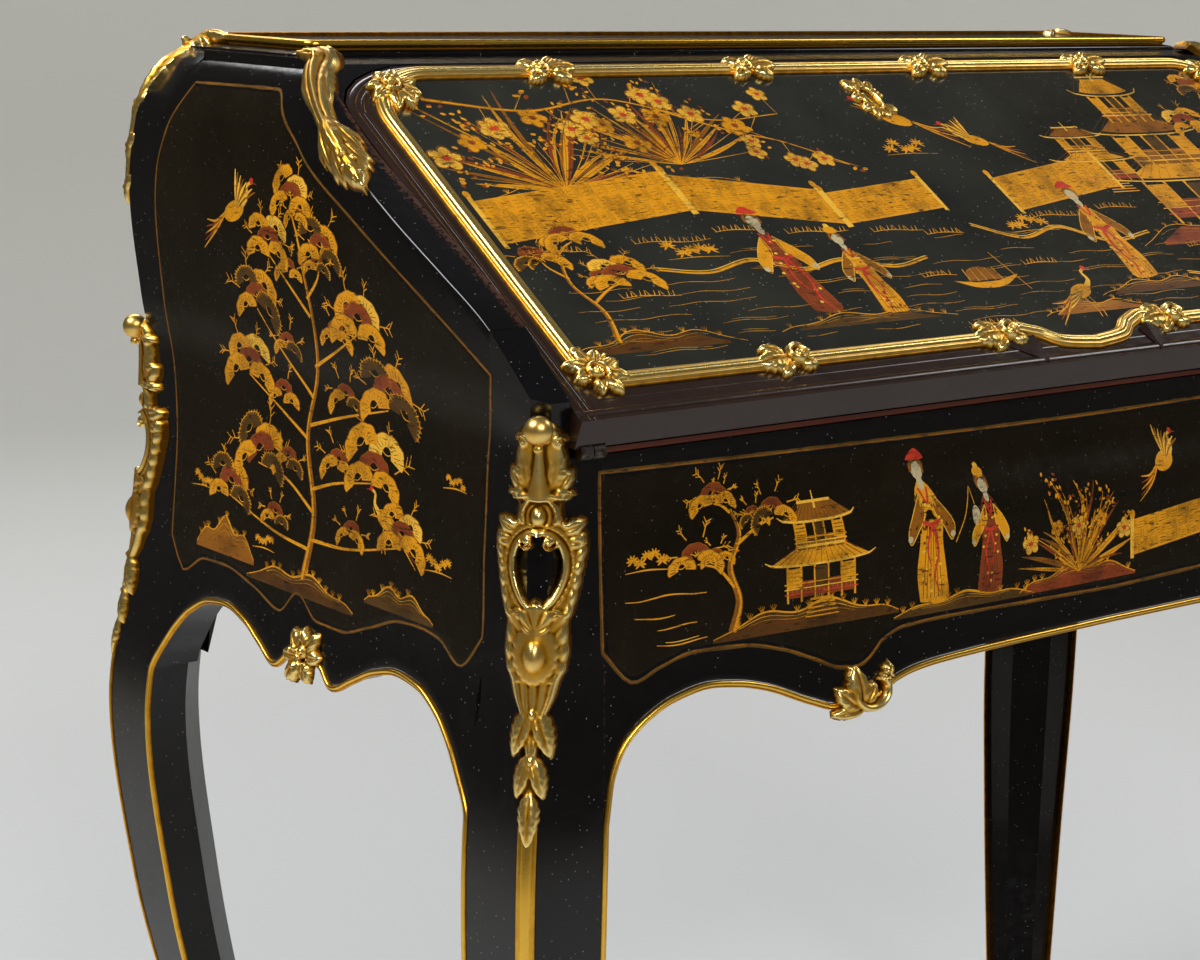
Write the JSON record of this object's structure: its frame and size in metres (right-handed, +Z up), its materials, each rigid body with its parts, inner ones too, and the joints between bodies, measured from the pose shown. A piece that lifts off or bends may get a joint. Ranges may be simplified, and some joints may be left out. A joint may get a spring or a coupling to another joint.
{
  "type": "slant-front desk",
  "caption": "Slant-front writing desk on curved legs, with a fall flap on slotted stays, a fitted interior, a well and gilt mounts.",
  "frame": {"origin": "on the floor under the middle of the desk's bounding box", "axes": "+X to the right as one faces the flap, +Y towards the back, +Z up"},
  "size_m": [0.9426, 0.4894, 0.93],
  "materials": {
    "lacquer": "polished black lacquer with gold painting",
    "flap_lacquer": "polished dark lacquer with gold and coloured painting",
    "interior": "waxed veneer",
    "inner_wood": "plain oiled wood",
    "gilt": "mercury-gilt cast bronze",
    "steel": "worn filed steel"
  },
  "bodies": {
    "carcass": {"leg_front_left": "lacquer", "leg_front_right": "lacquer", "leg_back_left": "lacquer", "leg_back_right": "lacquer", "side_left": "lacquer", "side_right": "lacquer", "frieze_front": "lacquer", "back_panel": "lacquer", "top_board": "lacquer", "top_rail": "lacquer", "writing_bed": "interior", "bottom_board": "inner_wood", "pigeonhole_case": "interior", "hinge_post_left": "steel", "hinge_post_right": "steel", "stay_bracket_left": "steel", "stay_bracket_right": "steel", "corner_mount_front_left": "gilt", "corner_mount_front_right": "gilt", "corner_mount_back_left": "gilt", "corner_mount_back_right": "gilt", "arris_strip_front_left": "gilt", "arris_strip_front_right": "gilt", "arris_strip_back_left": "gilt", "arris_strip_back_right": "gilt", "sabot_front_left": "gilt", "sabot_front_right": "gilt", "sabot_back_left": "gilt", "sabot_back_right": "gilt", "apron_bead_front": "gilt", "apron_bead_back": "gilt", "apron_bead_left": "gilt", "apron_bead_right": "gilt", "top_edge_bead": "gilt", "side_leaf_left": "gilt", "side_leaf_right": "gilt", "front_leaf_left": "gilt", "front_leaf_right": "gilt", "upper_mount_front_left": "gilt", "upper_mount_front_right": "gilt", "upper_mount_back_left": "gilt", "upper_mount_back_right": "gilt"},
    "flap": {"flap_panel": "flap_lacquer", "flap_frame_moulding": "gilt", "flap_lock": "gilt", "key_escutcheon": "gilt", "hinge_flap_left": "steel", "hinge_flap_right": "steel", "stay_lug_left": "steel", "stay_lug_right": "steel"},
    "bolt": {"lock_bolt": "steel"},
    "stay_bar_left": {"stay_left": "steel"},
    "stay_bar_right": {"stay_right": "steel"},
    "drawer_left": {"drawer_1": "interior", "drawer_knob_1": "gilt"},
    "drawer_middle": {"drawer_2": "interior", "drawer_knob_2": "gilt"},
    "drawer_right": {"drawer_3": "interior", "drawer_knob_3": "gilt"},
    "sliding_cover": {"well_cover": "interior"}
  },
  "joints": [
    {"name": "flap_hinge", "type": "hinge", "parent": "carcass", "child": "flap", "pos_m": [0, -0.2112, 0.722], "axis": [1, 0, 0], "range_deg": [0, 146.5]},
    {"name": "bolt_slide", "type": "slide", "parent": "flap", "child": "bolt", "axis": [0, 0.834, 0.5517], "range_m": [0, 0.007]},
    {"name": "stay_left_pivot", "type": "hinge", "parent": "flap", "child": "stay_bar_left", "pos_m": [-0.399, -0.15021, 0.75635], "axis": [1, 0, 0], "range_deg": [-73.25, 0]},
    {"name": "stay_right_pivot", "type": "hinge", "parent": "flap", "child": "stay_bar_right", "pos_m": [0.399, -0.15021, 0.75635], "axis": [1, 0, 0], "range_deg": [-73.25, 0]},
    {"name": "drawer_left_slide", "type": "slide", "parent": "carcass", "child": "drawer_left", "axis": [0, -1, 0], "range_m": [0, 0.1]},
    {"name": "drawer_middle_slide", "type": "slide", "parent": "carcass", "child": "drawer_middle", "axis": [0, -1, 0], "range_m": [0, 0.1]},
    {"name": "drawer_right_slide", "type": "slide", "parent": "carcass", "child": "drawer_right", "axis": [0, -1, 0], "range_m": [0, 0.1]},
    {"name": "well_cover_slide", "type": "slide", "parent": "carcass", "child": "sliding_cover", "axis": [0, 1, 0], "range_m": [0, 0.112]}
  ],
  "couplings": [
    {"joint": "stay_left_pivot", "follows": "flap_hinge", "ratio": -0.5},
    {"joint": "stay_right_pivot", "follows": "flap_hinge", "ratio": -0.5}
  ]
}
